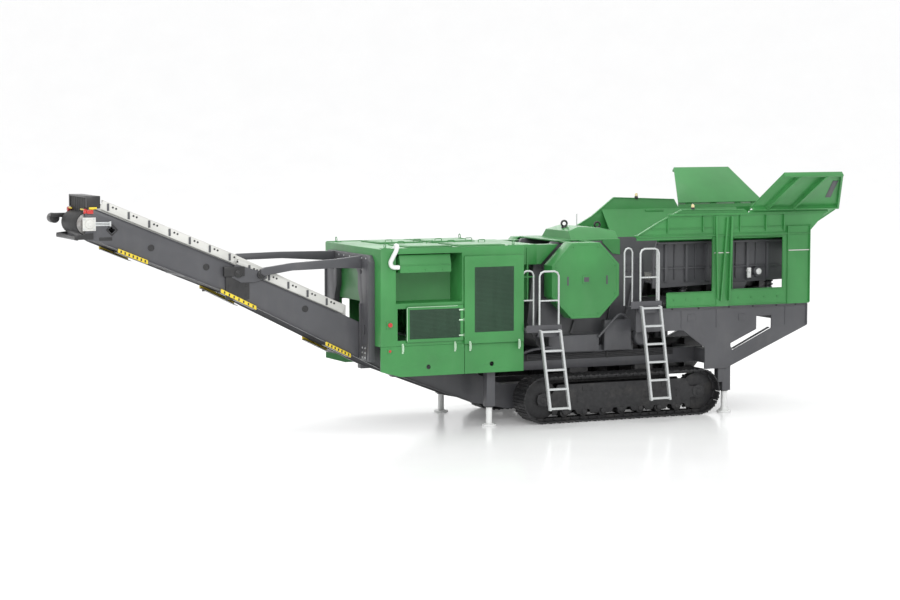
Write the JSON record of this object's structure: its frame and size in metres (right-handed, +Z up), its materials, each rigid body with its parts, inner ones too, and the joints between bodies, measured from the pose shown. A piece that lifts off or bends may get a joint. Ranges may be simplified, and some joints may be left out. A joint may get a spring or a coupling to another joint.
{
  "type": "tracked mobile jaw crusher",
  "caption": "Tracked jaw crushing plant: loading hopper with flared wings, feeder, jaw crusher, engine canopy and a raked discharge conveyor on crawler tracks.",
  "frame": {"origin": "on the ground, under the middle of the machine's length and width", "axes": "+X towards the loading hopper, -Y the side with the service door and louvre panel, +Z up"},
  "size_m": [15.705, 4.4454, 4.7975],
  "materials": {
    "green_paint": "semi-gloss mid green paint",
    "dark_grey_paint": "satin dark grey paint",
    "black_paint": "satin black paint",
    "belt_rubber": "matt black belting",
    "track_steel": "dark steel castings",
    "galvanised_steel": "galvanised",
    "white_paint": "white paint",
    "yellow_paint": "safety yellow paint",
    "bare_steel": "machined steel, lightly oiled",
    "light_grey_paint": "light grey paint"
  },
  "bodies": {
    "machine": {"canopy_shell": "green_paint", "canopy_skirts": "green_paint", "chassis_beams": "dark_grey_paint", "chassis_cross_members": "dark_grey_paint", "conveyor_arms": "black_paint", "conveyor_belt": "belt_rubber", "conveyor_drums": "bare_steel", "conveyor_head_hood": "black_paint", "conveyor_idlers": "black_paint", "conveyor_lower_plates": "dark_grey_paint", "conveyor_skirts": "light_grey_paint", "conveyor_upper_plates": "dark_grey_paint", "crusher_flywheels": "bare_steel", "crusher_frame": "dark_grey_paint", "crusher_jaw": "bare_steel", "crusher_top_cover": "green_paint", "drive_box": "green_paint", "exhaust_elbow": "white_paint", "feeder_mounts": "dark_grey_paint", "feeder_pan": "dark_grey_paint", "flywheel_guards": "green_paint", "grille_panels": "green_paint", "hatch_boxes": "green_paint", "head_scraper": "black_paint", "hopper_rear_wall": "green_paint", "hopper_side_frames": "green_paint", "hopper_walls": "green_paint", "jack_legs": "dark_grey_paint", "ladders": "galvanised_steel", "platforms": "dark_grey_paint", "portal_frame": "dark_grey_paint", "power_unit": "black_paint", "railings": "galvanised_steel", "rear_side_plates": "dark_grey_paint", "roller_guards": "yellow_paint", "track_chains": "track_steel", "track_frames": "dark_grey_paint", "track_wheels": "track_steel"},
    "wing_near": {"hopper_wing_near": "green_paint"},
    "wing_far": {"hopper_wing_far": "green_paint"},
    "grille_door": {"grille_door_near": "green_paint"},
    "front_foot_near": {"front_jack_foot_near": "white_paint"},
    "front_foot_far": {"front_jack_foot_far": "white_paint"},
    "rear_foot_near": {"rear_jack_foot_near": "white_paint"},
    "rear_foot_far": {"rear_jack_foot_far": "white_paint"}
  },
  "joints": [
    {"name": "wing_near_fold", "type": "hinge", "parent": "machine", "child": "wing_near", "pos_m": [6.8745, -1.416, 4.065], "axis": [-1, 0, 0], "range_deg": [0, 130]},
    {"name": "wing_far_fold", "type": "hinge", "parent": "machine", "child": "wing_far", "pos_m": [6.8745, 1.416, 4.065], "axis": [1, 0, 0], "range_deg": [0, 130]},
    {"name": "grille_door_hinge", "type": "hinge", "parent": "machine", "child": "grille_door", "pos_m": [-0.44, -1.436, 2.035], "axis": [0, 0, 1], "range_deg": [0, 100]},
    {"name": "front_foot_near_slide", "type": "slide", "parent": "machine", "child": "front_foot_near", "axis": [0, 0, 1], "range_m": [0, 0.3]},
    {"name": "front_foot_far_slide", "type": "slide", "parent": "machine", "child": "front_foot_far", "axis": [0, 0, 1], "range_m": [0, 0.3]},
    {"name": "rear_foot_near_slide", "type": "slide", "parent": "machine", "child": "rear_foot_near", "axis": [0, 0, 1], "range_m": [0, 0.3]},
    {"name": "rear_foot_far_slide", "type": "slide", "parent": "machine", "child": "rear_foot_far", "axis": [0, 0, 1], "range_m": [0, 0.3]}
  ]
}
